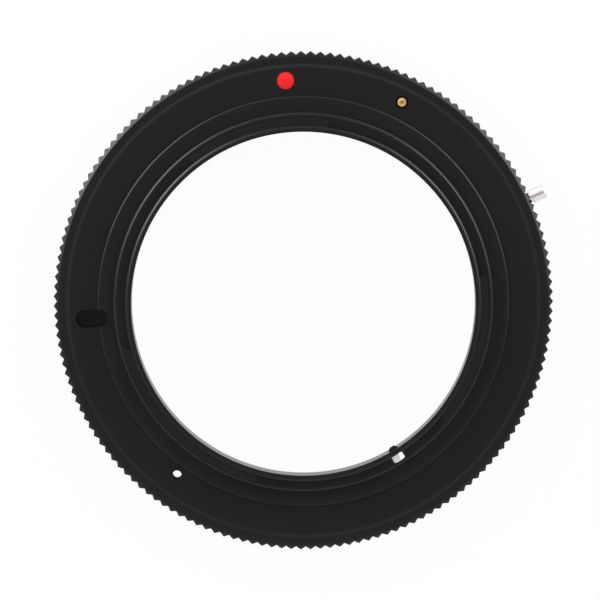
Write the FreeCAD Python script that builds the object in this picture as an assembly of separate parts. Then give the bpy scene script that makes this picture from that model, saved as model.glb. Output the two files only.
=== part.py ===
import FreeCAD, Part
import math
import os

from FreeCAD import Vector

# Lens mount adapter: a thin ring that carries a bayonet lens on a camera of another bayonet.
# Sizes are in millimetres and degrees. +Z points at the camera, and z = 0 is the camera seat.
# Angles run anticlockwise as seen from the camera, from +X.

# Camera side, from the light path outwards
throat_d = 44.5
tube_wall = 0.75
lug_depth = 0.9
pilot_margin = 0.75
seat_width = 2.1

# Lens side, from the light path outwards
lens_bore_relief = 0.8
tab_relief = 0.45
tab_depth = 1.35
channel_relief = 0.15
screw_land = 2.45
pocket_width = 2.85
plate_ledge = 0.15
plate_clearance = 0.05
rim_wall = 1.55
tooth_depth = 0.45
tooth_count = 159

# Heights above the seat
pilot_height = 1.2
camera_lug_room = 1.3
lug_thickness = 1.4
tube_tip = 0.25

# Depths below the seat
seat_step = 0.6
pocket_roof = 0.7
pocket_depth = 2.3
plate_thickness = 1.2
plate_proud = 0.1
channel_height = 1.8
lens_bore_length = 1.0

# Edge bevels
tube_bevel = 0.25
pilot_bevel = 0.3
seat_bevel = 0.18
rim_land_width = 1.0
rim_step_width = 0.35
rim_step_drop = 0.15
tooth_shoulder = 0.2
rim_lens_bevel = 0.5
plate_bevel = 0.2

# Camera bayonet lugs: start and end of each at its outer edge, and how far the ends lean
lug_spans = [(81.8, 128.2), (194.2, 255.6), (320.4, 369.4)]
lug_lean = 0.8

# Lens bayonet tabs
tab_span = 56.0
tab_angles = [75.0, 195.0, 315.0]

# Lock slot for the camera's pin
lock_slot_angle = 184.6
lock_slot_length = 4.1
lock_slot_width = 2.3
lock_slot_depth = 1.5
lock_slot_past_seat = 0.85

# Index dots
index_angle = 94.6
index_d = 2.3
index_depth = 0.2
index_crown = 0.05
index_from_edge = 1.69
lens_index_angle = 135.0
lens_index_d = 1.6
lens_index_from_edge = 1.6

# Small hole through the flange and the plate
sight_hole_angle = 234.0
sight_hole_d = 1.2
sight_hole_from_edge = 2.49

# Stop screw in the tube wall
stop_angle = 301.6
stop_head_d = 1.75
stop_head_height = 0.95
stop_head_bevel = 0.2
stop_thread_d = 1.3
stop_reach = 0.4
stop_below_end = 1.2
stop_flat = 0.03

# Stop pin of the lens bayonet
lens_stop_d = 1.2
lens_stop_past_tab = 4.0
lens_stop_seat = 0.7
lens_stop_sink = 0.2

# Plate screws
screw_d = 1.4
screw_head_d = 2.2
screw_length = 3.0
screw_sink = 0.05
screw_angles = [15.0, 75.0, 135.0, 195.0, 255.0, 315.0]
driver_slot_width = 0.3
driver_slot_depth = 0.3
thread_clearance = 0.02
hole_clearance = 0.1

# Tab springs
spring_thickness = 0.2
spring_width = 1.05
spring_span = 40.0
spring_flat = 5.0
spring_rise = 0.4
spring_tongue_width = 2.6
spring_margin = 0.1

# Release leaf, with its root under the plate and its free end at the lock pin
leaf_thickness = 0.3
leaf_side_room = 0.25
leaf_root_angle = -5.0
leaf_clamp_edge = 1.0
ear_width = 2.4
ear_above_rod = 0.75
pocket_end_room = 0.6

# Lock pin
pin_angle = 63.7
pin_tail_d = 1.2
pin_tail_hole_d = 1.7
pin_tail_recess = 0.5
pin_tail_flat_d = 0.5
pin_tail_crown = 0.08
pin_nose_d = 1.9
pin_nose_height = 1.0
pin_nose_bevel = 0.35
pin_room = 0.2

# Release rod
rod_angle = 24.5
rod_lift = 0.2
rod_tenon_d = 0.8
rod_peen_d = 1.2
rod_peen_height = 0.3
rod_shank_d = 1.4
rod_knob_d = 1.95
rod_knob_length = 1.95
rod_knob_bevel = 0.25
rod_knob_gap = 0.2
rod_side_room = 0.2
rod_travel_room = 0.65

# Radii that follow
throat_r = throat_d / 2
tube_r = throat_r + tube_wall
lug_r = tube_r + lug_depth
pilot_r = lug_r + pilot_margin
seat_r = pilot_r + seat_width
lens_bore_r = throat_r + lens_bore_relief
tab_r = lens_bore_r + tab_relief
gap_r = tab_r + tab_depth
channel_r = gap_r + channel_relief
pocket_in_r = channel_r + screw_land
pocket_out_r = pocket_in_r + pocket_width
plate_r = pocket_out_r + plate_ledge
plate_seat_r = plate_r + plate_clearance
root_r = plate_seat_r + rim_wall
tip_r = root_r + tooth_depth
shoulder_r = root_r - tooth_shoulder
land_in_r = shoulder_r - rim_land_width
face_edge_r = land_in_r - rim_step_width
screw_r = channel_r + screw_land / 2
leaf_in_r = pocket_in_r + leaf_side_room
leaf_out_r = pocket_out_r - leaf_side_room
leaf_mid_r = (leaf_in_r + leaf_out_r) / 2
leaf_end_r = (leaf_out_r - leaf_in_r) / 2

# Heights that follow
lug_low_z = pilot_height + camera_lug_room
lug_high_z = lug_low_z + lug_thickness
tube_end_z = lug_high_z + tube_tip
face_z = -seat_step
land_z = face_z - rim_step_drop
pocket_roof_z = face_z - pocket_roof
plate_back_z = pocket_roof_z - pocket_depth
plate_face_z = plate_back_z - plate_thickness
rim_lens_z = plate_face_z + plate_proud
channel_z = plate_back_z + channel_height
bore_step_z = channel_z + lens_bore_length
leaf_top_z = plate_back_z + leaf_thickness
screw_head_z = plate_face_z + screw_sink
rod_z = plate_back_z + rod_shank_d / 2 + rod_lift
notch_roof_z = rod_z + rod_shank_d / 2 + rod_travel_room

# How far a cutting shape runs past the face that it leaves
past = 1.0


def polar(radius, angle, z=0.0):
    turn = math.radians(angle)
    return Vector(radius * math.cos(turn), radius * math.sin(turn), z)


def turned(outline):
    """A solid of revolution about Z from its (radius, z) outline."""
    corners = [Vector(radius, 0, z) for radius, z in outline]
    face = Part.Face(Part.makePolygon(corners + corners[:1]))
    return face.revolve(Vector(0, 0, 0), Vector(0, 0, 1), 360)


def radial(solid, angle, z):
    """Lay a solid that was turned about Z along the radius at an angle, at height z."""
    solid.rotate(Vector(0, 0, 0), Vector(0, 1, 0), 90)
    solid.rotate(Vector(0, 0, 0), Vector(0, 0, 1), angle)
    solid.translate(Vector(0, 0, z))
    return solid


def round_bar(diameter, place, low_z, high_z):
    return Part.makeCylinder(diameter / 2, high_z - low_z, Vector(place.x, place.y, low_z))


def arc_edge(radius, start, end, z):
    points = [polar(radius, angle, z) for angle in (start, (start + end) / 2, end)]
    return Part.Arc(*points).toShape()


def ring_sector(in_r, out_r, low_z, high_z, start, end, lean=0.0):
    """A piece of a ring. With a lean, its ends spread towards the inner edge."""
    inner = arc_edge(in_r, start - lean, end + lean, low_z)
    outer = arc_edge(out_r, start, end, low_z)
    sides = [
        Part.makeLine(polar(in_r, start - lean, low_z), polar(out_r, start, low_z)),
        Part.makeLine(polar(in_r, end + lean, low_z), polar(out_r, end, low_z)),
    ]
    outline = Part.Wire(Part.__sortEdges__([inner, outer] + sides))
    return Part.Face(outline).extrude(Vector(0, 0, high_z - low_z))


def radial_block(in_r, out_r, width, low_z, high_z, angle):
    """A straight block of the given width along the radius at an angle."""
    block = Part.makeBox(out_r - in_r, width, high_z - low_z, Vector(in_r, -width / 2, low_z))
    block.rotate(Vector(0, 0, 0), Vector(0, 0, 1), angle)
    return block


def radial_slot(mid_r, length, width, low_z, high_z, angle):
    """An oblong with round ends, its length along the radius at an angle."""
    half = (length - width) / 2
    slot = radial_block(mid_r - half, mid_r + half, width, low_z, high_z, angle)
    ends = [round_bar(width, polar(mid_r + side, angle), low_z, high_z) for side in (-half, half)]
    return slot.multiFuse(ends).removeSplitter()


def fused(first, others):
    return first.multiFuse(others).removeSplitter()


def angular_room(distance, radius):
    return math.degrees(distance / radius)


# Places of the small features
rod_tip_r = tip_r + rod_knob_gap + rod_knob_length
pin_place = polar(leaf_mid_r, pin_angle)
leaf_screw_place = polar(leaf_mid_r, leaf_root_angle)
screw_places = [polar(screw_r, angle) for angle in screw_angles] + [leaf_screw_place]
index_place = polar(face_edge_r - index_from_edge, index_angle)
sight_place = polar(face_edge_r - sight_hole_from_edge, sight_hole_angle)
lens_index_place = polar(plate_r - lens_index_from_edge, lens_index_angle)
lens_stop_angle = tab_angles[0] - tab_span / 2 - lens_stop_past_tab
lens_stop_place = polar((tab_r + gap_r) / 2, lens_stop_angle)
stop_z = tube_end_z - stop_below_end
leaf_end_room = angular_room(leaf_end_r + pocket_end_room, leaf_mid_r)


def tooth_corners(at_tip_r, at_root_r, z):
    """A point for each tooth's tip and root, all round."""
    radii = [at_tip_r, at_root_r] * tooth_count
    return [polar(radius, number * 180 / tooth_count, z) for number, radius in enumerate(radii)]


def flat_face(corners):
    return Part.Face(Part.makePolygon(corners + corners[:1]))


def make_toothed_stock():
    """A bar with V teeth all round, whose ends are bevelled at 45 degrees, a flat to each flank."""
    low_z = rim_lens_z - past
    high_z = tube_end_z + past
    low_r = tip_r - rim_lens_bevel - past
    high_r = shoulder_r - (high_z - land_z)
    waist_z = (low_z + high_z + high_r - low_r) / 2
    waist_r = low_r + waist_z - low_z
    rows = [
        tooth_corners(radius, radius, z)
        for radius, z in ((low_r, low_z), (waist_r, waist_z), (high_r, high_z))
    ]
    faces = [flat_face(rows[0]), flat_face(rows[-1])]
    for lower, upper in zip(rows, rows[1:]):
        for number in range(len(lower)):
            before = number - 1
            faces.append(flat_face([lower[before], lower[number], upper[number], upper[before]]))
    shell = Part.Shell(faces)
    shell.sewShape()
    teeth = flat_face(tooth_corners(tip_r, root_r, low_z - past))
    return Part.Solid(shell).common(teeth.extrude(Vector(0, 0, high_z - low_z + 2 * past)))


def make_turned_body():
    """The ring as it leaves the lathe, with no lugs, pockets or holes."""
    return turned([
        (throat_r, tube_end_z),
        (tube_r - tube_bevel, tube_end_z),
        (tube_r, tube_end_z - tube_bevel),
        (tube_r, pilot_height),
        (pilot_r - pilot_bevel, pilot_height),
        (pilot_r, pilot_height - pilot_bevel),
        (pilot_r, 0),
        (seat_r - seat_bevel, 0),
        (seat_r, -seat_bevel),
        (seat_r, face_z),
        (face_edge_r, face_z),
        (land_in_r, land_z),
        (tip_r + past, land_z),
        (tip_r + past, rim_lens_z),
        (plate_seat_r, rim_lens_z),
        (plate_seat_r, plate_back_z),
        (channel_r, plate_back_z),
        (channel_r, channel_z),
        (lens_bore_r, channel_z),
        (lens_bore_r, bore_step_z),
        (throat_r, bore_step_z + lens_bore_relief),
    ])


def make_lugs():
    return [
        ring_sector(tube_r - tube_wall / 2, lug_r, lug_low_z, lug_high_z, start, end, lug_lean)
        for start, end in lug_spans
    ]


def make_body_cuts():
    pocket_end = pin_angle + leaf_end_room
    root_end = leaf_root_angle - leaf_end_room
    cuts = [
        ring_sector(pocket_in_r, pocket_out_r, plate_back_z, pocket_roof_z, leaf_clamp_edge, pocket_end),
        ring_sector(pocket_in_r, pocket_out_r, plate_back_z, leaf_top_z, root_end, leaf_clamp_edge),
        radial_block(leaf_out_r, tip_r + past, rod_shank_d + 2 * rod_side_room,
                     rim_lens_z - past, notch_roof_z, rod_angle),
        round_bar(pin_tail_hole_d, pin_place, pocket_roof_z, face_z),
        radial_slot(seat_r + lock_slot_past_seat, lock_slot_length, lock_slot_width,
                    face_z - lock_slot_depth, past, lock_slot_angle),
        round_bar(index_d, index_place, face_z - index_depth, face_z),
        round_bar(sight_hole_d, sight_place, plate_back_z, face_z),
        round_bar(lens_stop_d, lens_stop_place, channel_z, channel_z + lens_stop_seat),
    ]
    hole_d = screw_d + 2 * thread_clearance
    hole_end_z = screw_head_z + screw_length + thread_clearance
    for place in screw_places:
        cuts.append(round_bar(hole_d, place, plate_back_z, hole_end_z))
    for angle in tab_angles:
        cuts.append(radial_block(channel_r - past, screw_r + spring_tongue_width / 2 + spring_margin,
                                 spring_tongue_width + 2 * spring_margin,
                                 plate_back_z, plate_back_z + spring_thickness, angle))
    stop_hole_r = stop_thread_d / 2 + thread_clearance
    stop_face_r = stop_head_d / 2 + hole_clearance
    cuts.append(radial(turned([
        (0, throat_r - past), (stop_hole_r, throat_r - past), (stop_hole_r, tube_r - stop_flat),
        (stop_face_r, tube_r - stop_flat), (stop_face_r, lug_r), (0, lug_r),
    ]), stop_angle, stop_z))
    return cuts


def make_adapter_body():
    knurled = make_turned_body().common(make_toothed_stock())
    return fused(knurled, make_lugs()).cut(make_body_cuts()).removeSplitter()


def make_lens_mount_plate():
    plate = turned([
        (tab_r, plate_back_z),
        (plate_r, plate_back_z),
        (plate_r, plate_face_z + plate_bevel),
        (plate_r - plate_bevel, plate_face_z),
        (tab_r + plate_bevel, plate_face_z),
        (tab_r, plate_face_z + plate_bevel),
    ])
    cuts = []
    for place, following in zip(tab_angles, tab_angles[1:] + [tab_angles[0] + 360]):
        cuts.append(ring_sector(tab_r - past, gap_r, plate_face_z, plate_back_z,
                                place + tab_span / 2, following - tab_span / 2))
    head_r = screw_head_d / 2
    neck_r = screw_d / 2
    for place in screw_places:
        sink = turned([
            (0, plate_face_z), (head_r + screw_sink, plate_face_z),
            (neck_r + hole_clearance, screw_head_z + head_r - neck_r - hole_clearance),
            (neck_r + hole_clearance, plate_back_z), (0, plate_back_z),
        ])
        sink.translate(place)
        cuts.append(sink)
    cuts.append(round_bar(pin_nose_d + 2 * pin_room, pin_place, plate_face_z, plate_back_z))
    cuts.append(round_bar(sight_hole_d, sight_place, plate_face_z, plate_back_z))
    cuts.append(round_bar(lens_index_d, lens_index_place, plate_face_z, plate_face_z + index_depth))
    return plate.cut(cuts).removeSplitter()


def make_plate_screw(place):
    head_r = screw_head_d / 2
    neck_r = screw_d / 2
    end_z = screw_head_z + screw_length
    screw = turned([
        (0, screw_head_z), (head_r, screw_head_z), (neck_r, screw_head_z + head_r - neck_r),
        (neck_r, end_z), (0, end_z),
    ])
    slot = Part.makeBox(screw_head_d, driver_slot_width, driver_slot_depth,
                        Vector(-head_r, -driver_slot_width / 2, screw_head_z))
    screw = screw.cut(slot)
    screw.rotate(Vector(0, 0, 0), Vector(0, 0, 1), math.degrees(math.atan2(place.y, place.x)))
    screw.translate(place)
    return screw


def make_bayonet_spring(angle):
    """A strip behind one tab, held at its middle by a tongue, with both wings bent up to the lugs."""
    mid_r = (tab_r + gap_r) / 2
    in_r = mid_r - spring_width / 2
    out_r = mid_r + spring_width / 2
    outline = ring_sector(in_r, out_r, plate_back_z, channel_z, -spring_span / 2, spring_span / 2)
    tongue = radial_block(mid_r, screw_r + spring_tongue_width / 2, spring_tongue_width,
                          plate_back_z, channel_z, 0)
    reach = out_r * math.sin(math.radians(spring_span / 2))
    flat = spring_flat / 2
    low = plate_back_z
    side_view = [(-reach, low + spring_rise), (-flat, low), (flat, low), (reach, low + spring_rise)]
    back = [(y, z + spring_thickness) for y, z in reversed(side_view)]
    corners = [Vector(in_r - past, y, z) for y, z in side_view + back]
    strip = Part.Face(Part.makePolygon(corners + corners[:1])).extrude(Vector(screw_r, 0, 0))
    hole = round_bar(screw_d + 2 * hole_clearance, polar(screw_r, 0), plate_back_z, channel_z)
    spring = fused(outline, [tongue]).common(strip).cut(hole)
    spring.rotate(Vector(0, 0, 0), Vector(0, 0, 1), angle)
    return spring


def make_release_leaf():
    """A flat arc of spring steel with round ends and an ear bent up for the rod."""
    strip = ring_sector(leaf_in_r, leaf_out_r, plate_back_z, leaf_top_z, leaf_root_angle, pin_angle)
    ends = [
        round_bar(2 * leaf_end_r, place, plate_back_z, leaf_top_z)
        for place in (leaf_screw_place, pin_place)
    ]
    ear = radial_block(leaf_out_r - leaf_thickness, leaf_out_r, ear_width,
                       plate_back_z, rod_z + ear_above_rod, rod_angle)
    edge = turned([
        (leaf_in_r, plate_back_z),
        (leaf_out_r, plate_back_z),
        (leaf_out_r, pocket_roof_z),
        (leaf_in_r, pocket_roof_z),
    ])
    tenon_hole = radial(Part.makeCylinder(rod_tenon_d / 2, leaf_out_r + past), rod_angle, rod_z)
    screw_hole = round_bar(screw_d + 2 * hole_clearance, leaf_screw_place, plate_back_z, leaf_top_z)
    tail_hole = round_bar(pin_tail_d, pin_place, plate_back_z, leaf_top_z)
    return fused(strip, ends + [ear.common(edge)]).cut([tenon_hole, screw_hole, tail_hole])


def make_release_rod():
    ear_in_r = leaf_out_r - leaf_thickness
    knob_in_r = tip_r + rod_knob_gap
    tenon_r = rod_tenon_d / 2
    peen_r = rod_peen_d / 2
    shank_r = rod_shank_d / 2
    knob_r = rod_knob_d / 2
    return radial(turned([
        (0, ear_in_r - rod_peen_height), (tenon_r, ear_in_r - rod_peen_height),
        (peen_r, ear_in_r - rod_peen_height / 2), (peen_r, ear_in_r),
        (tenon_r, ear_in_r), (tenon_r, leaf_out_r), (shank_r, leaf_out_r), (shank_r, knob_in_r),
        (knob_r, knob_in_r), (knob_r, rod_tip_r - rod_knob_bevel), (knob_r - rod_knob_bevel, rod_tip_r),
        (0, rod_tip_r),
    ]), rod_angle, rod_z)


def make_lock_pin():
    nose_z = plate_face_z - pin_nose_height
    tail_z = face_z - pin_tail_recess
    nose_r = pin_nose_d / 2
    tail_r = pin_tail_d / 2
    pin = turned([
        (0, nose_z), (nose_r - pin_nose_bevel, nose_z), (nose_r, nose_z + pin_nose_bevel),
        (nose_r, plate_back_z), (tail_r, plate_back_z), (tail_r, tail_z - pin_tail_crown),
        (pin_tail_flat_d / 2, tail_z), (0, tail_z),
    ])
    pin.translate(pin_place)
    return pin


def make_stop_screw():
    head_r = stop_head_d / 2
    thread_r = stop_thread_d / 2
    tip = throat_r - stop_reach
    seat = tube_r - stop_flat
    top = seat + stop_head_height
    screw = turned([
        (0, tip), (thread_r / 2, tip), (thread_r, tip + thread_r / 2), (thread_r, seat), (head_r, seat),
        (head_r, top - stop_head_bevel), (head_r - stop_head_bevel, top), (0, top),
    ])
    slot = Part.makeBox(driver_slot_width, stop_head_d, driver_slot_depth,
                        Vector(-driver_slot_width / 2, -head_r, top - driver_slot_depth))
    return radial(screw.cut(slot), stop_angle, stop_z)


def make_lens_stop_pin():
    low_z = plate_face_z + lens_stop_sink
    return round_bar(lens_stop_d, lens_stop_place, low_z, channel_z + lens_stop_seat)


def make_dot(diameter, place, seat_z, top_z):
    """A drop of enamel that fills a shallow round recess, a little crowned."""
    dot_r = diameter / 2
    rise = math.copysign(index_crown, top_z - seat_z)
    dot = turned([
        (0, seat_z), (dot_r, seat_z), (dot_r, top_z), (dot_r / 2, top_z + rise), (0, top_z + rise),
    ])
    dot.translate(place)
    return dot


parts = {
    "adapter_body": make_adapter_body(),
    "lens_mount_plate": make_lens_mount_plate(),
    "plate_screws": Part.makeCompound([make_plate_screw(place) for place in screw_places]),
    "release_leaf": make_release_leaf(),
    "release_rod": make_release_rod(),
    "lock_pin": make_lock_pin(),
    "stop_screw": make_stop_screw(),
    "lens_stop_pin": make_lens_stop_pin(),
    "index_dot": make_dot(index_d, index_place, face_z - index_depth, face_z),
    "lens_index_dot": make_dot(lens_index_d, lens_index_place, plate_face_z + index_depth, plate_face_z),
}
for number, angle in enumerate(tab_angles, start=1):
    parts[f"bayonet_spring_{number}"] = make_bayonet_spring(angle)

os.makedirs("parts", exist_ok=True)
for name, shape in parts.items():
    shape.exportStep(f"parts/{name}.step")
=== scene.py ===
import math

import bmesh
import bpy
from mathutils import Matrix, Vector


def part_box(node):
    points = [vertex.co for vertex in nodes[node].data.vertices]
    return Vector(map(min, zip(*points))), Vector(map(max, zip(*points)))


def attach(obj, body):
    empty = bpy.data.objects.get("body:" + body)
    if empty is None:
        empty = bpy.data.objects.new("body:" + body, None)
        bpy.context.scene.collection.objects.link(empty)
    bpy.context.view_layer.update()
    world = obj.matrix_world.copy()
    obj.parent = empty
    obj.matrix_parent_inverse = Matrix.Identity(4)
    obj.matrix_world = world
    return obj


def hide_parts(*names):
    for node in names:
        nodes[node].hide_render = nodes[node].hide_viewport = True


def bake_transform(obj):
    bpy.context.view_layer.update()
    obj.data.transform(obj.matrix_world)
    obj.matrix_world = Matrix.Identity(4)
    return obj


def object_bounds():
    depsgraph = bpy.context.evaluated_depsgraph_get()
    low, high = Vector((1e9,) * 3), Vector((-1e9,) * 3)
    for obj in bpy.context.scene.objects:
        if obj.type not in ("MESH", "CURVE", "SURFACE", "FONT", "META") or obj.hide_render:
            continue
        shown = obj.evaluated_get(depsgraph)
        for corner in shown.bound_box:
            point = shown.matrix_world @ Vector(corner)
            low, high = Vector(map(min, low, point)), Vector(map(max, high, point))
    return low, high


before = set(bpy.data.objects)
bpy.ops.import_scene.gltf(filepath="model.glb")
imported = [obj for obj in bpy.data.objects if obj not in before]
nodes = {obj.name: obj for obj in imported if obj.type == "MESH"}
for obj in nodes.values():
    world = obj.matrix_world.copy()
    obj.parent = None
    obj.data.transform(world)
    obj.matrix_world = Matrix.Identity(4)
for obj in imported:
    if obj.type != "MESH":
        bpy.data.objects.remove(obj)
cad_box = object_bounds()

# Adapter body
# One ring turned from aluminium bar, with the grip teeth cut round its rim and the lugs, slot, pocket
# and holes milled. Its edges are broken, then it is blasted, anodised and dyed black all over.

# Shapes are drawn in millimetres, and stand_for turns them to metres. Points within near of each other
# count as one, a cutter reaches past the face that it cuts, and an edge over sharp_turn stays sharp.
mm = 0.001
near = 0.001
past = 0.5
sharp_turn = math.radians(10)


def box_mm(node):
    """The lowest and highest corners of a CAD node, in millimetres."""
    return [Vector(corner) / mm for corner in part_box(node)]


def polar(radius, degrees, z=0.0):
    """The point at a radius and an angle, which runs anticlockwise from +X on the camera side."""
    turn = math.radians(degrees)
    return Vector((radius * math.cos(turn), radius * math.sin(turn), z))


def turned(outline, steps):
    """Spin a (radius, z) outline about Z. It is a closed ring, or runs from the axis to the axis."""
    shape = bmesh.new()
    corners = [shape.verts.new((radius, 0, z)) for radius, z in outline]
    closing = corners[:1] if outline[0][0] > 0 else []
    for first, second in zip(corners, corners[1:] + closing):
        shape.edges.new((first, second))
    bmesh.ops.spin(shape, geom=shape.verts[:] + shape.edges[:], cent=(0, 0, 0), axis=(0, 0, 1),
                   angle=2 * math.pi, steps=steps, use_merge=True)
    bmesh.ops.remove_doubles(shape, verts=shape.verts, dist=near)
    bmesh.ops.recalc_face_normals(shape, faces=shape.faces)
    return shape


def soften(shape, width, *corners):
    """Round the edges of a turned shape that run round at these (radius, z) corners of its outline."""
    edges = [
        edge for edge in shape.edges for radius, z in corners
        if all(abs(v.co.z - z) < near and abs(v.co.xy.length - radius) < near for v in edge.verts)
    ]
    bmesh.ops.bevel(shape, geom=edges, offset=width, offset_type="OFFSET", segments=3, profile=0.5,
                    affect="EDGES", material=-1, clamp_overlap=True)


def sector(in_r, out_r, low, high, start, end):
    """A piece of a ring of square section between two angles, in steps of about a degree."""
    shape = bmesh.new()
    section = ((in_r, low), (out_r, low), (out_r, high), (in_r, high))
    shape.faces.new([shape.verts.new(polar(radius, start, z)) for radius, z in section])
    bmesh.ops.spin(shape, geom=shape.faces[:] + shape.edges[:] + shape.verts[:], cent=(0, 0, 0),
                   axis=(0, 0, 1), angle=math.radians(end - start), steps=round(end - start),
                   use_merge=False)
    bmesh.ops.recalc_face_normals(shape, faces=shape.faces)
    return shape


def oblong(place, width, low, high, length=0.0, degrees=0.0):
    """A round bar that stands on Z, or one drawn out to a length along an angle."""
    shape = bmesh.new()
    sides = 48
    stretch = max(length - width, 0) / 2
    turn = Matrix.Rotation(math.pi / sides, 4, "Z")
    bmesh.ops.create_cone(shape, cap_ends=True, segments=sides, radius1=width / 2, radius2=width / 2,
                          depth=high - low, matrix=turn)
    for vert in shape.verts:
        vert.co.x += math.copysign(stretch, vert.co.x)
    turn = Matrix.Rotation(math.radians(degrees), 4, "Z")
    place = Vector((place.x, place.y, (low + high) / 2))
    bmesh.ops.transform(shape, matrix=Matrix.Translation(place) @ turn, verts=shape.verts)
    return shape


def block(in_r, out_r, width, low, high, degrees):
    """A straight bar of a width along the radius at an angle."""
    shape = bmesh.new()
    bmesh.ops.create_cube(shape, size=1.0)
    bmesh.ops.scale(shape, vec=(out_r - in_r, width, high - low), verts=shape.verts)
    bmesh.ops.translate(shape, vec=((in_r + out_r) / 2, 0, (low + high) / 2), verts=shape.verts)
    bmesh.ops.rotate(shape, cent=(0, 0, 0), matrix=Matrix.Rotation(math.radians(degrees), 3, "Z"),
                     verts=shape.verts)
    return shape


def laid_radially(shape, degrees, z):
    """Lay a shape that was turned about Z along the radius at an angle."""
    turn = Matrix.Rotation(math.radians(degrees), 4, "Z") @ Matrix.Rotation(math.pi / 2, 4, "Y")
    bmesh.ops.transform(shape, matrix=Matrix.Translation((0, 0, z)) @ turn, verts=shape.verts)
    return shape


def as_object(shape, name):
    """A shape as a new object in the scene."""
    mesh = bpy.data.meshes.new(name)
    shape.to_mesh(mesh)
    shape.free()
    made = bpy.data.objects.new(name, mesh)
    bpy.context.scene.collection.objects.link(made)
    return made


def joined(shapes):
    """Several shapes that don't meet, as one."""
    whole = bmesh.new()
    for shape in shapes:
        spare = bpy.data.meshes.new("spare")
        shape.to_mesh(spare)
        shape.free()
        whole.from_mesh(spare)
        bpy.data.meshes.remove(spare)
    return whole


def combined(shape, tools, operation="DIFFERENCE"):
    """Cut tools that don't meet out of a shape, or unite them with it."""
    base = as_object(shape, "base")
    tool = as_object(joined(tools), "tool")
    change = base.modifiers.new("change", "BOOLEAN")
    change.operation = operation
    change.solver = "EXACT"
    change.object = tool
    result = bmesh.new()
    result.from_object(base, bpy.context.evaluated_depsgraph_get())
    for spent in (base, tool):
        mesh = spent.data
        bpy.data.objects.remove(spent)
        bpy.data.meshes.remove(mesh)
    return result


def stand_for(shape, name, node, body, material):
    """Put a finished shape in the scene in place of its CAD node, with its sharp edges marked."""
    bmesh.ops.scale(shape, vec=(mm, mm, mm), verts=shape.verts)
    for face in shape.faces:
        face.smooth = True
    for edge in shape.edges:
        edge.smooth = edge.calc_face_angle(0) < sharp_turn
    piece = as_object(shape, name)
    piece.data.materials.append(material)
    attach(piece, body)
    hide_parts(node)
    return piece


def linear(colour):
    """A colour written as sRGB hex, as linear RGBA."""
    channels = [int(colour[start:start + 2], 16) / 255 for start in (1, 3, 5)]
    return [c / 12.92 if c <= 0.04045 else ((c + 0.055) / 1.055) ** 2.4 for c in channels] + [1.0]


def add_node(tree, kind, sockets=None, **settings):
    """Add a shader node with its settings, and set each socket to a value or link it to an output."""
    made = tree.nodes.new("ShaderNode" + kind)
    for name, value in settings.items():
        setattr(made, name, value)
    for socket, value in (sockets or {}).items():
        if isinstance(value, bpy.types.NodeSocket):
            tree.links.new(value, made.inputs[socket])
        else:
            made.inputs[socket].default_value = value
    return made


def new_material(name):
    """A material with no nodes yet, and its node tree."""
    material = bpy.data.materials.new(name)
    material.use_nodes = True
    material.node_tree.nodes.clear()
    return material, material.node_tree


lowest, highest = box_mm("adapter_body")
tube_end_z = highest.z
rim_lens_z = lowest.z
tip_r = highest.x
throat_r = 22.25
tube_r = 23.0
lug_r = 23.9
pilot_r = 24.65
seat_r = 26.75
face_edge_r = 30.5
land_in_r = 30.85
shoulder_r = 31.85
root_r = 32.05
tooth_count = 159
columns_per_tooth = 4
lug_low_z = 2.5
lug_high_z = 3.9
pilot_z = 1.2
pilot_bevel = 0.3
tube_bevel = 0.25
seat_bevel = 0.18
face_z = -0.6
land_z = -0.75
rim_lens_bevel = 0.5
lens_bevel_r = tip_r - rim_lens_bevel
plate_back_z = -3.6
plate_seat_r = 30.5
channel_r = 25.0
channel_z = -1.8
lens_bore_r = 23.05
bore_step_z = -0.8
throat_z = 0.0
edge_break = 0.05
pilot_round = 0.08
seat_round = 0.04
land_round = 0.12

body = turned([
    (throat_r, tube_end_z), (tube_r - tube_bevel, tube_end_z), (tube_r, lug_high_z), (tube_r, pilot_z),
    (pilot_r - pilot_bevel, pilot_z), (pilot_r, pilot_z - pilot_bevel), (pilot_r, 0),
    (seat_r - seat_bevel, 0), (seat_r, -seat_bevel), (seat_r, face_z), (face_edge_r, face_z),
    (land_in_r, land_z), (shoulder_r, land_z),
    (root_r, land_z - (root_r - shoulder_r)), (root_r, rim_lens_z + root_r - lens_bevel_r),
    (lens_bevel_r, rim_lens_z), (plate_seat_r, rim_lens_z), (plate_seat_r, plate_back_z),
    (channel_r, plate_back_z), (channel_r, channel_z), (lens_bore_r, channel_z), (lens_bore_r, bore_step_z),
    (throat_r, throat_z),
], tooth_count * columns_per_tooth)
soften(body, edge_break, (throat_r, tube_end_z), (tube_r - tube_bevel, tube_end_z), (shoulder_r, land_z),
       (lens_bevel_r, rim_lens_z), (plate_seat_r, rim_lens_z), (lens_bore_r, channel_z))
soften(body, pilot_round, (pilot_r - pilot_bevel, pilot_z), (pilot_r, pilot_z - pilot_bevel))
soften(body, seat_round, (seat_r - seat_bevel, 0), (seat_r, -seat_bevel))
soften(body, land_round, (face_edge_r, face_z), (land_in_r, land_z))

# Grip teeth: the two rows of points on the root circle move out to V ridges with bevelled ends.
for vert in body.verts:
    if abs(vert.co.xy.length - root_r) < near:
        phase = math.atan2(vert.co.y, vert.co.x) * tooth_count / (2 * math.pi) % 1
        ridge_r = root_r + (tip_r - root_r) * abs(1 - 2 * phase)
        upper = vert.co.z > (land_z + rim_lens_z) / 2
        vert.co.xy *= ridge_r / root_r
        vert.co.z = land_z - (ridge_r - shoulder_r) if upper else rim_lens_z + ridge_r - lens_bevel_r

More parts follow.
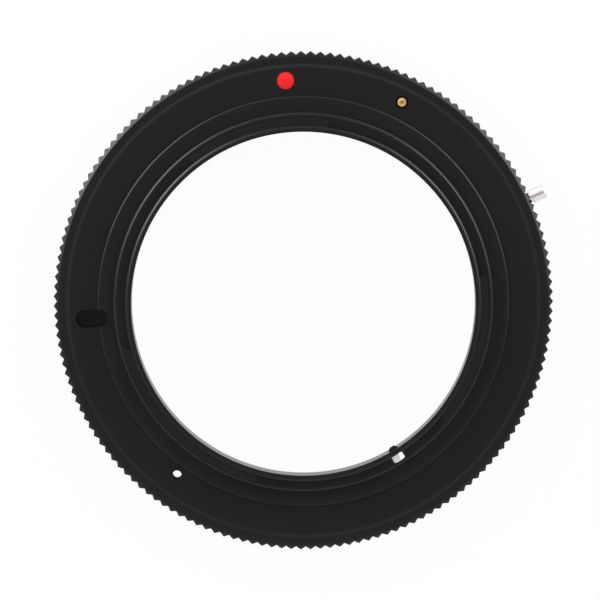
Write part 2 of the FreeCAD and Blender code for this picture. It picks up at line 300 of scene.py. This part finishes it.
# Camera lugs, whose ends lean out towards the tube.
lug_spans = ((81.8, 128.2), (194.2, 255.6), (320.4, 369.4))
lug_lean = 0.8
lug_edge = 0.03
lug_sink = 0.275
lugs = []
for start, end in lug_spans:
    lug = sector(tube_r - lug_sink, lug_r, lug_low_z, lug_high_z, start, end)
    middle = polar(1.0, (start + end) / 2)
    for vert in lug.verts:
        if vert.co.xy.length < tube_r:
            away = -vert.co.xy.angle_signed(middle.xy)
            vert.co.rotate(Matrix.Rotation(away * 2 * lug_lean / (end - start), 3, "Z"))
    outer = [
        edge for edge in lug.edges
        if all(v.co.xy.length > tube_r for v in edge.verts) and edge.calc_face_angle(0) > math.pi / 4
    ]
    bmesh.ops.bevel(lug, geom=outer, offset=lug_edge, offset_type="OFFSET", segments=2, profile=0.5,
                    affect="EDGES", material=-1, clamp_overlap=True)
    lugs.append(lug)
body = combined(body, lugs, "UNION")

# Milled slot, pocket, notch and holes.
index_low, index_high = box_mm("index_dot")
index_place = (index_low + index_high) / 2
index_d = index_high.x - index_low.x
pin_low, pin_high = box_mm("lock_pin")
pin_place = (pin_low + pin_high) / 2
sight_r = 28.01
sight_angle = 234.0
sight_place = polar(sight_r, sight_angle)
sight_d = 1.2
slot_past_seat = 0.85
slot_r = seat_r + slot_past_seat
slot_angle = 184.6
slot_length = 4.1
slot_width = 2.3
slot_depth = 1.5
pocket_in_r = 27.45
pocket_out_r = 30.3
pocket_roof_z = -1.3
leaf_seat_start = -8.5
pocket_end = 67.2
pin_tail_hole_d = 1.7
leaf_r = 28.875
leaf_root_angle = -5.0
leaf_top_z = -3.3
clamp_edge = 1.0
rod_angle = 24.5
rod_z = -2.7
notch_in_r = 30.05
notch_width = 1.8
notch_roof_z = -1.35
stop_angle = 301.6
stop_below_end = 1.2
stop_z = tube_end_z - stop_below_end
stop_hole_r = 0.67
stop_face_r = 0.975
stop_flat = 0.03
stop_seat = tube_r - stop_flat
screw_r = 26.225
screw_hole_d = 1.44
screw_end_z = -1.73
tab_angles = (75.0, 195.0, 315.0)
spring_seat_r = 27.625
spring_seat_width = 2.8
spring_seat_depth = 0.2
first_screw = 15
screw_step = 60
screw_places = [polar(screw_r, angle) for angle in range(first_screw, 360, screw_step)]
leaf_screw_place = polar(leaf_r, leaf_root_angle)
lens_stop_r = 24.175
lens_stop_angle = 43.0
lens_stop_place = polar(lens_stop_r, lens_stop_angle)
lens_stop_d = 1.2
lens_stop_seat = 0.7
hole_steps = 48
body = combined(body, [
    oblong(polar(slot_r, slot_angle), slot_width, face_z - slot_depth, past, slot_length, slot_angle),
    oblong(index_place, index_d, index_low.z, past),
    oblong(sight_place, sight_d, plate_back_z - past, past),
    sector(pocket_in_r, pocket_out_r, plate_back_z - past, pocket_roof_z, clamp_edge, pocket_end),
    laid_radially(turned([
        (0, throat_r - past), (stop_hole_r, throat_r - past), (stop_hole_r, stop_seat),
        (stop_face_r, stop_seat), (stop_face_r, lug_r), (0, lug_r),
    ], hole_steps), stop_angle, stop_z),
] + [
    block(channel_r - past, spring_seat_r, spring_seat_width, plate_back_z - past,
          plate_back_z + spring_seat_depth, angle)
    for angle in tab_angles
])
body = combined(body, [
    sector(pocket_in_r, pocket_out_r, plate_back_z - past, leaf_top_z, leaf_seat_start, clamp_edge + past),
    oblong(pin_place, pin_tail_hole_d, pocket_roof_z - past, past),
    block(notch_in_r, tip_r + past, notch_width, rim_lens_z - past, notch_roof_z, rod_angle),
    oblong(lens_stop_place, lens_stop_d, channel_z - past, channel_z + lens_stop_seat),
] + [oblong(place, screw_hole_d, plate_back_z - past, screw_end_z) for place in screw_places])
body = combined(body, [oblong(leaf_screw_place, screw_hole_d, leaf_top_z - past, screw_end_z)])

# Black anodised aluminium: a dyed oxide skin on a blasted, turned face. The eye sees a deep even
# black with a soft sheen, faint rings from the lathe, and grey only where an edge faces a light. The
# rings and the blast grain are drawn coarser than real, so that they show.
lathe_feed = 0.22 * mm
blast_grain = 0.12 * mm
sheen_patch = 7.0 * mm

anodised, tree = new_material("black_anodised_aluminium")
spot = add_node(tree, "TexCoord").outputs["Object"]
flat = add_node(tree, "VectorMath", {0: spot, 1: (1, 1, 0)}, operation="MULTIPLY")
radius = add_node(tree, "VectorMath", {0: flat.outputs[0]}, operation="LENGTH").outputs["Value"]
height = add_node(tree, "SeparateXYZ", {0: spot}).outputs["Z"]
ring_spot = add_node(tree, "CombineXYZ", {"X": radius, "Y": height}).outputs[0]
rings = add_node(tree, "TexNoise", {"Vector": ring_spot, "Scale": 1 / lathe_feed, "Detail": 1.0},
                 noise_dimensions="2D").outputs[0]
grain = add_node(tree, "TexNoise", {"Vector": spot, "Scale": 1 / blast_grain, "Detail": 1.0}).outputs[0]
patches = add_node(tree, "TexNoise", {"Vector": spot, "Scale": 1 / sheen_patch, "Detail": 2.0}).outputs[0]
colour = add_node(tree, "Mix", {"Factor": patches, 6: linear("#1a1a1b"), 7: linear("#1d1d1e")},
                  data_type="RGBA").outputs[2]
roughness = add_node(tree, "MapRange", {"Value": patches, "To Min": 0.50, "To Max": 0.60}).outputs[0]
ring_bump = add_node(tree, "Bump", {"Height": rings, "Strength": 0.04, "Distance": lathe_feed})
skin_bump = add_node(tree, "Bump", {"Height": grain, "Strength": 0.05, "Distance": blast_grain,
                                    "Normal": ring_bump.outputs[0]})
surface = add_node(tree, "BsdfPrincipled", {
    "Base Color": colour, "Roughness": roughness, "Normal": skin_bump.outputs[0],
    "Specular IOR Level": 0.0,
    "Coat Weight": 0.7, "Coat Roughness": 0.2, "Coat IOR": 1.38,
})
add_node(tree, "OutputMaterial", {"Surface": surface.outputs[0]})
body = stand_for(body, "body_ring", "adapter_body", "adapter", anodised)

# Black drilled aluminium: the wall of the small through hole, which a drill left rough. It stays dark
# beside the bright spot that shows through the hole.
drilled, tree = new_material("black_drilled_aluminium")
surface = add_node(tree, "BsdfPrincipled", {
    "Base Color": linear("#1b1b1c"), "Roughness": 0.8, "Specular IOR Level": 0.05,
})
add_node(tree, "OutputMaterial", {"Surface": surface.outputs[0]})
body.data.materials.append(drilled)
for face in body.data.polygons:
    if abs(face.normal.z) < near and (face.center.xy / mm - sight_place.xy).length < sight_d / 2 + near:
        face.material_index = 1

# Index dots
# Drops of red enamel that fill shallow round recesses, one on each side, for lining the mounts up.
# The enamel is dropped in wet and dries with a low crown.
drop_gap = 0.01
drop_steps = 64
camera_crown = 0.16
lens_crown = 0.12


def drop(node, crown):
    """A round drop in the place of a CAD dot, domed on the side that its crown points to."""
    low, high = box_mm(node)
    place = (low + high) / 2
    drop_r = (high.x - low.x) / 2 - drop_gap
    base, top = (low.z, high.z) if crown > 0 else (high.z, low.z)
    dome = [(drop_r * share, top - crown * share ** 2) for share in (1.0, 0.9, 0.75, 0.55, 0.3, 0.0)]
    shape = turned([(0, base), (drop_r, base)] + dome, drop_steps)
    bmesh.ops.translate(shape, vec=(place.x, place.y, 0), verts=shape.verts)
    return shape


# Red enamel: a filled paint that dried from a drop. The eye sees a strong even red with a soft gloss.
enamel_flow = 0.9 * mm
flow_height = 0.1 * mm
enamel, tree = new_material("red_enamel")
spot = add_node(tree, "TexCoord").outputs["Object"]
flow = add_node(tree, "TexNoise", {"Vector": spot, "Scale": 1 / enamel_flow, "Detail": 1.0}).outputs[0]
colour = add_node(tree, "Mix", {"Factor": flow, 6: linear("#f42226"), 7: linear("#fd2a2e")},
                  data_type="RGBA").outputs[2]
bump = add_node(tree, "Bump", {"Height": flow, "Strength": 0.08, "Distance": flow_height})
surface = add_node(tree, "BsdfPrincipled", {
    "Base Color": colour, "Roughness": 0.32, "Normal": bump.outputs[0], "Specular IOR Level": 0.25,
})
add_node(tree, "OutputMaterial", {"Surface": surface.outputs[0]})
stand_for(drop("index_dot", camera_crown), "camera_index", "index_dot", "adapter", enamel)
stand_for(drop("lens_index_dot", -lens_crown), "lens_index", "lens_index_dot", "adapter",
          enamel)

# Lens mount plate
# A ring of brass with three inward tabs, which hold the lugs of the lens. It is turned, milled and satin
# chrome plated, and countersunk screws hold it in the lens side of the body.
plate_low, plate_high = box_mm("lens_mount_plate")
plate_face_z = plate_low.z
plate_r = plate_high.x
tab_r = 23.5
gap_r = 24.85
tab_span = 56.0
screw_head_r = 1.1
screw_neck_r = 0.7
screw_sink = 0.05
sink_clearance = 0.1
sink_r = screw_neck_r + sink_clearance
tab_step = 120
pin_nose_hole_d = 2.3
lens_index_depth = 0.2
plate_bevel = 0.2
plate_steps = 360
plate = turned([
    (tab_r, plate_back_z), (plate_r, plate_back_z), (plate_r, plate_face_z), (tab_r, plate_face_z),
], plate_steps)
# Half a step round, so that no edge of the ring falls in line with a step of the cuts between the tabs.
bmesh.ops.rotate(plate, cent=(0, 0, 0), matrix=Matrix.Rotation(math.pi / plate_steps, 3, "Z"),
                 verts=plate.verts)
soften(plate, plate_bevel, (plate_r, plate_face_z), (tab_r, plate_face_z))
sinks = []
for place in screw_places + [leaf_screw_place]:
    sink = turned([
        (0, plate_face_z - past), (screw_head_r + screw_sink + past, plate_face_z - past),
        (sink_r, plate_face_z + screw_sink + screw_head_r - sink_r),
        (sink_r, plate_back_z + past), (0, plate_back_z + past),
    ], hole_steps)
    bmesh.ops.translate(sink, vec=place, verts=sink.verts)
    sinks.append(sink)
lens_low, lens_high = box_mm("lens_index_dot")
plate = combined(plate, [
    sector(tab_r - past, gap_r, plate_face_z - past, plate_back_z + past, angle + tab_span / 2,
           angle + tab_step - tab_span / 2)
    for angle in tab_angles
])
plate = combined(plate, sinks + [
    oblong(pin_place, pin_nose_hole_d, plate_face_z - past, plate_back_z + past),
    oblong(sight_place, sight_d, plate_face_z - past, plate_back_z + past),
    oblong((lens_low + lens_high) / 2, lens_high.x - lens_low.x, plate_face_z - past,
           plate_face_z + lens_index_depth),
])

# Satin chrome on brass: a turned ring under thin plating. The eye sees a cool grey metal with fine rings
# that smear its reflections. The rings are drawn coarser than real, so that they show.
plate_feed = 0.12 * mm
feed_depth = 0.05 * mm
plating, tree = new_material("satin_chrome_on_brass")
spot = add_node(tree, "TexCoord").outputs["Object"]
flat = add_node(tree, "VectorMath", {0: spot, 1: (1, 1, 0)}, operation="MULTIPLY")
radius = add_node(tree, "VectorMath", {0: flat.outputs[0]}, operation="LENGTH").outputs["Value"]
rings = add_node(tree, "TexNoise", {"W": radius, "Scale": 1 / plate_feed, "Detail": 2.0},
                 noise_dimensions="1D").outputs[0]
roughness = add_node(tree, "MapRange", {"Value": rings, "To Min": 0.24, "To Max": 0.36}).outputs[0]
bump = add_node(tree, "Bump", {"Height": rings, "Strength": 0.10, "Distance": feed_depth})
surface = add_node(tree, "BsdfPrincipled", {
    "Base Color": linear("#c4c4c2"), "Metallic": 1.0, "Roughness": roughness, "Normal": bump.outputs[0],
})
add_node(tree, "OutputMaterial", {"Surface": surface.outputs[0]})
stand_for(plate, "mount_plate", "lens_mount_plate", "adapter", plating)

# Plate screws
# Countersunk screws of bright turned steel with a driver slot. Six hold the plate, and a seventh also
# clamps the root of the release leaf.


def marked_metal(name, colour, mark_size, smoothest, roughest):
    """A metal whose roughness varies between two values over small marks."""
    material, tree = new_material(name)
    spot = add_node(tree, "TexCoord").outputs["Object"]
    marks = add_node(tree, "TexNoise", {"Vector": spot, "Scale": 1 / mark_size, "Detail": 2.0}).outputs[0]
    roughness = add_node(tree, "MapRange", {"Value": marks, "To Min": smoothest, "To Max": roughest})
    surface = add_node(tree, "BsdfPrincipled", {
        "Base Color": linear(colour), "Metallic": 1.0, "Roughness": roughness.outputs[0],
    })
    add_node(tree, "OutputMaterial", {"Surface": surface.outputs[0]})
    return material


# Bright turned steel: cut on a lathe and left bare. The eye sees clear white and grey stripes along it.
# The tool's marks are drawn coarser than real, so that they show.
tool_mark = 0.15 * mm
steel = marked_metal("bright_turned_steel", "#f2eeee", tool_mark, smoothest=0.14, roughest=0.24)

head_z = plate_face_z + screw_sink
screw_length = 3.0
screw_edge = 0.03
driver_slot_width = 0.3
driver_slot_depth = 0.3
driver_reach = 2.0
screws = []
for place in screw_places + [leaf_screw_place]:
    screw = turned([
        (0, head_z), (screw_head_r, head_z), (screw_neck_r, head_z + screw_head_r - screw_neck_r),
        (screw_neck_r, head_z + screw_length), (0, head_z + screw_length),
    ], hole_steps)
    soften(screw, screw_edge, (screw_head_r, head_z))
    screw = combined(screw, [
        block(-driver_reach, driver_reach, driver_slot_width, head_z - past, head_z + driver_slot_depth, 0),
    ])
    turn = Matrix.Rotation(math.atan2(place.y, place.x), 4, "Z")
    bmesh.ops.transform(screw, matrix=Matrix.Translation(place) @ turn, verts=screw.verts)
    screws.append(screw)
stand_for(joined(screws), "countersunk_screws", "plate_screws", "adapter", steel)

# Bayonet springs
# Bowed strips of rolled spring steel behind the tabs, which press the lens against its seat. Each is
# blanked and bent, and held at its middle by a plate screw.

# Rolled spring steel: strip from the mill. The eye sees a dull grey metal with blurred reflections. The
# marks of the rolls are drawn coarser than real, so that they show.
roll_mark = 0.4 * mm
spring = marked_metal("rolled_spring_steel", "#9d9ea2", roll_mark, smoothest=0.5, roughest=0.62)
for name in ("bayonet_spring_1", "bayonet_spring_2", "bayonet_spring_3"):
    nodes[name].data.materials.clear()
    nodes[name].data.materials.append(spring)

# Release leaf
# A flat arc blanked from the same strip, with an ear bent up for the rod. Its root is clamped under
# the plate, and it bends between there and the ear when the rod is pushed.
leaf = bmesh.new()
leaf.from_mesh(nodes["release_leaf"].data)
bmesh.ops.remove_doubles(leaf, verts=leaf.verts, dist=near * mm)
bend_end = 20
bend_step = 2
for degrees in range(bend_step, bend_end + 1, bend_step):
    side = polar(1.0, degrees + 90)
    bmesh.ops.bisect_plane(leaf, geom=leaf.verts[:] + leaf.edges[:] + leaf.faces[:], plane_co=(0, 0, 0),
                           plane_no=side)
for edge in leaf.edges:
    edge.smooth = edge.calc_face_angle(0) < sharp_turn
strip = as_object(leaf, "leaf_strip")
strip.data.materials.clear()
strip.data.materials.append(spring)
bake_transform(strip)
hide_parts("release_leaf")

# Release rod
# A rod of bright turned steel with a knob, its tenon riveted over in the ear of the leaf. It stands
# out through a notch in the rim, where a finger pushes it.
leaf_out_r = 30.05
ear_in_r = 29.75
peen = 0.3
knob_gap = 0.2
knob_length = 1.95
knob_in_r = tip_r + knob_gap
knob_tip_r = knob_in_r + knob_length
tenon_r = 0.4
peen_r = 0.6
neck_r = 0.7
rod_steps = 72
knob_r = 0.975
knob_bevel = 0.25
rod = turned([
    (0, ear_in_r - peen), (tenon_r, ear_in_r - peen), (peen_r, ear_in_r - peen / 2), (peen_r, ear_in_r),
    (tenon_r, ear_in_r), (tenon_r, leaf_out_r), (neck_r, leaf_out_r), (neck_r, knob_in_r),
    (knob_r, knob_in_r), (knob_r, knob_tip_r - knob_bevel), (knob_r - knob_bevel, knob_tip_r),
    (0, knob_tip_r),
], rod_steps)
soften(rod, edge_break, (knob_r, knob_in_r), (knob_r, knob_tip_r - knob_bevel),
       (knob_r - knob_bevel, knob_tip_r))
stand_for(laid_radially(rod, rod_angle, rod_z), "rod", "release_rod", "release", steel)

# Lock pin
# A brass pin, turned and riveted through the leaf. Its nose stands out of the lens seat, and its tail,
# a low crown with a flat middle, shows in the small hole of the flange.
nose_z = pin_low.z
tail_z = pin_high.z
nose_r = 0.95
nose_bevel = 0.35
tail_r = 0.6
tail_flat_r = 0.25
tail_crown = 0.08
tail_edge = 0.03
pin_steps = 64
pin = turned([
    (0, nose_z), (nose_r - nose_bevel, nose_z), (nose_r, nose_z + nose_bevel), (nose_r, plate_back_z),
    (tail_r, plate_back_z), (tail_r, tail_z - tail_crown), (tail_flat_r, tail_z), (0, tail_z),
], pin_steps)
soften(pin, edge_break, (nose_r - nose_bevel, nose_z), (nose_r, nose_z + nose_bevel))
soften(pin, tail_edge, (tail_r, tail_z - tail_crown))
bmesh.ops.translate(pin, vec=(pin_place.x, pin_place.y, 0), verts=pin.verts)

# Turned brass: cut on a lathe and left bare. The eye sees a warm yellow gleam. The tool's marks are
# drawn coarser than real, so that they show.
brass_mark = 0.2 * mm
brass = marked_metal("turned_brass", "#f6ca84", brass_mark, smoothest=0.13, roughest=0.2)
stand_for(pin, "pin", "lock_pin", "release", brass)

# Stop screw
# A small slotted screw of plated steel through the tube wall, which ends the turn in the camera. Its
# head sits outside the tube, and the part of it in the bore is drawn dark and rough.
stop_reach = 0.4
stop_head_height = 0.95
stop_head_r = 0.875
stop_head_bevel = 0.2
stop_thread_r = 0.65
stop_end_bevel = stop_thread_r / 2
stop_tip = throat_r - stop_reach
stop_top = stop_seat + stop_head_height
black_past_wall = 0.05
black_end = throat_r + black_past_wall
stop = turned([
    (0, stop_tip), (stop_thread_r - stop_end_bevel, stop_tip), (stop_thread_r, stop_tip + stop_end_bevel),
    (stop_thread_r, black_end), (stop_thread_r, stop_seat), (stop_head_r, stop_seat),
    (stop_head_r, stop_top), (0, stop_top),
], pin_steps)
soften(stop, stop_head_bevel, (stop_head_r, stop_top))
stop = combined(stop, [
    block(-driver_slot_width / 2, driver_slot_width / 2, 2 * driver_reach, stop_top - driver_slot_depth,
          stop_top + past, 0),
])

# Nickel-plated steel: a tumbled screw under a thin plating. The eye sees a soft white gleam, with none
# of the clear stripes of the turned rod. The marks of tumbling are drawn coarser than real.
tumble_mark = 0.15 * mm
nickel = marked_metal("nickel_plated_steel", "#f6f4f4", tumble_mark, smoothest=0.34, roughest=0.44)
stop = stand_for(laid_radially(stop, stop_angle, stop_z), "stop", "stop_screw", "adapter",
                 nickel)
# The part of the screw inside the bore takes the dark, rough material of the drilled hole, so it is drawn
# dark there.
stop.data.materials.append(drilled)
for face in stop.data.polygons:
    if face.center.xy.length < black_end * mm:
        face.material_index = 1

# Lens stop pin
# A short pin of bright turned steel, pressed into a hole in the channel floor beside a tab. It ends the
# turn of the lens.
stop_pin_low, stop_pin_high = box_mm("lens_stop_pin")
stop_pin_r = (stop_pin_high.x - stop_pin_low.x) / 2
stop_pin_round = 0.1
stop_pin = turned([(0, stop_pin_low.z), (stop_pin_r, stop_pin_low.z), (stop_pin_r, stop_pin_high.z),
                   (0, stop_pin_high.z)], pin_steps)
soften(stop_pin, stop_pin_round, (stop_pin_r, stop_pin_low.z))
bmesh.ops.translate(stop_pin, vec=(lens_stop_place.x, lens_stop_place.y, 0), verts=stop_pin.verts)
stand_for(stop_pin, "stop_pin", "lens_stop_pin", "adapter", steel)

# Floor
# A wide sheet of white paper that lies flat under the adapter. It is seen as plain white, with the
# adapter's shadow on it. Its size is in metres.
floor_half = 6.0
white_share = 0.96
sheet = bmesh.new()
bmesh.ops.create_grid(sheet, x_segments=1, y_segments=1, size=floor_half)
bmesh.ops.translate(sheet, verts=sheet.verts, vec=(0, 0, cad_box[0].z))
floor = as_object(sheet, "floor")

# White paper: uncoated and matte. The eye sees an even white, also in metal. Most of that is a glow that
# rays from the camera and from metal meet, and the rest is matte and takes the shadow.
paper, tree = new_material("white_paper")
ray = add_node(tree, "LightPath")
seen = add_node(tree, "Math", {0: ray.outputs["Is Camera Ray"], 1: ray.outputs["Is Glossy Ray"]},
                operation="MAXIMUM")
seen = add_node(tree, "Math", {0: seen.outputs[0], 1: ray.outputs["Is Transmission Ray"]},
                operation="MAXIMUM")
share = add_node(tree, "Math", {0: seen.outputs[0], 1: white_share}, operation="MULTIPLY")
matte = add_node(tree, "BsdfDiffuse", {"Color": linear("#f6f6f6")})
glow = add_node(tree, "Emission", {"Color": linear("#ffffff"), "Strength": 1.0})
mixed = add_node(tree, "MixShader", {0: share.outputs[0], 1: matte.outputs[0], 2: glow.outputs[0]})
add_node(tree, "OutputMaterial", {"Surface": mixed.outputs[0]})
floor.data.materials.append(paper)

# Light
# A white tent, dim along its foot and open above, where the camera looks in. Five soft lamps shine
# through its cloth: two strong low ones from the upper left and upper right, a weak high one at the top,
# and two weak ones from the lower left and lower right.
foot_level = 0.216
tent_level = 0.468
tent_rise = 0.35
opening_start = 0.955
opening_full = 0.985
opening_level = 0.5
lamps = [
    # azimuth, elevation, sharpness, strength
    (144.0, 5.0, 13.0, 9.4),
    (34.0, 5.0, 10.0, 6.6),
    (107.0, 42.0, 4.0, 0.61),
    (225.0, 20.0, 2.0, 0.26),
    (300.0, 28.0, 4.0, 0.42),
]
room = bpy.data.worlds.new("room")
room.use_nodes = True
tree = room.node_tree
tree.nodes.clear()
towards = add_node(tree, "TexCoord").outputs["Generated"]
rise = add_node(tree, "SeparateXYZ", {0: towards}).outputs["Z"]
level = add_node(tree, "MapRange", {"Value": rise, "From Max": tent_rise, "To Min": foot_level,
                                    "To Max": tent_level}).outputs[0]
for azimuth, elevation, sharpness, strength in lamps:
    tilt = math.radians(elevation)
    facing = add_node(tree, "VectorMath", {0: towards, 1: polar(math.cos(tilt), azimuth, math.sin(tilt))},
                      operation="DOT_PRODUCT").outputs["Value"]
    facing = add_node(tree, "Math", {0: facing, 1: 0.0}, operation="MAXIMUM").outputs[0]
    patch = add_node(tree, "Math", {0: facing, 1: sharpness}, operation="POWER").outputs[0]
    level = add_node(tree, "Math", {0: patch, 1: strength, 2: level}, operation="MULTIPLY_ADD").outputs[0]
shade = add_node(tree, "MapRange", {
    "Value": rise, "From Min": opening_start, "From Max": opening_full, "To Min": 1.0,
    "To Max": opening_level,
}, interpolation_type="SMOOTHSTEP").outputs[0]
level = add_node(tree, "Math", {0: level, 1: shade}, operation="MULTIPLY").outputs[0]
# The camera sees the room as plain white, and metal sees the lamps in it.
ray = add_node(tree, "LightPath")
seen = ray.outputs["Is Camera Ray"]
shown = add_node(tree, "Mix", {"Factor": seen, 2: level, 3: 1.0}, data_type="FLOAT").outputs[0]
back = add_node(tree, "Background", {"Color": linear("#ffffff"), "Strength": shown})
add_node(tree, "OutputWorld", {"Surface": back.outputs[0]})
bpy.context.scene.world = room

# Camera
# The viewpoint is over the side that goes on a camera, leaning a little towards the top of the picture,
# at a distance in metres. The lens is set so that the radius of the seat's edge and the ring's centre
# match these pixels, which are counted from the middle of the first one.
camera_lean = math.radians(4.0)
camera_distance = 0.7
picture_px = 600
seat_px = 205.97
half_px = 0.5
centre_px = (302.83 + half_px, 301.38 + half_px)
lens = bpy.data.cameras.new("camera")
lens.sensor_width = 36.0
lens.lens = lens.sensor_width * camera_distance * seat_px / (seat_r * mm * picture_px)
lens.shift_x = (picture_px / 2 - centre_px[0]) / picture_px
lens.shift_y = (centre_px[1] - picture_px / 2) / picture_px
camera = bpy.data.objects.new("camera", lens)
camera.location = (0, camera_distance * math.sin(camera_lean), camera_distance * math.cos(camera_lean))
camera.rotation_euler = (-camera_lean, 0, 0)
bpy.context.scene.collection.objects.link(camera)
bpy.context.scene.camera = camera
bpy.context.scene.view_settings.view_transform = "Standard"
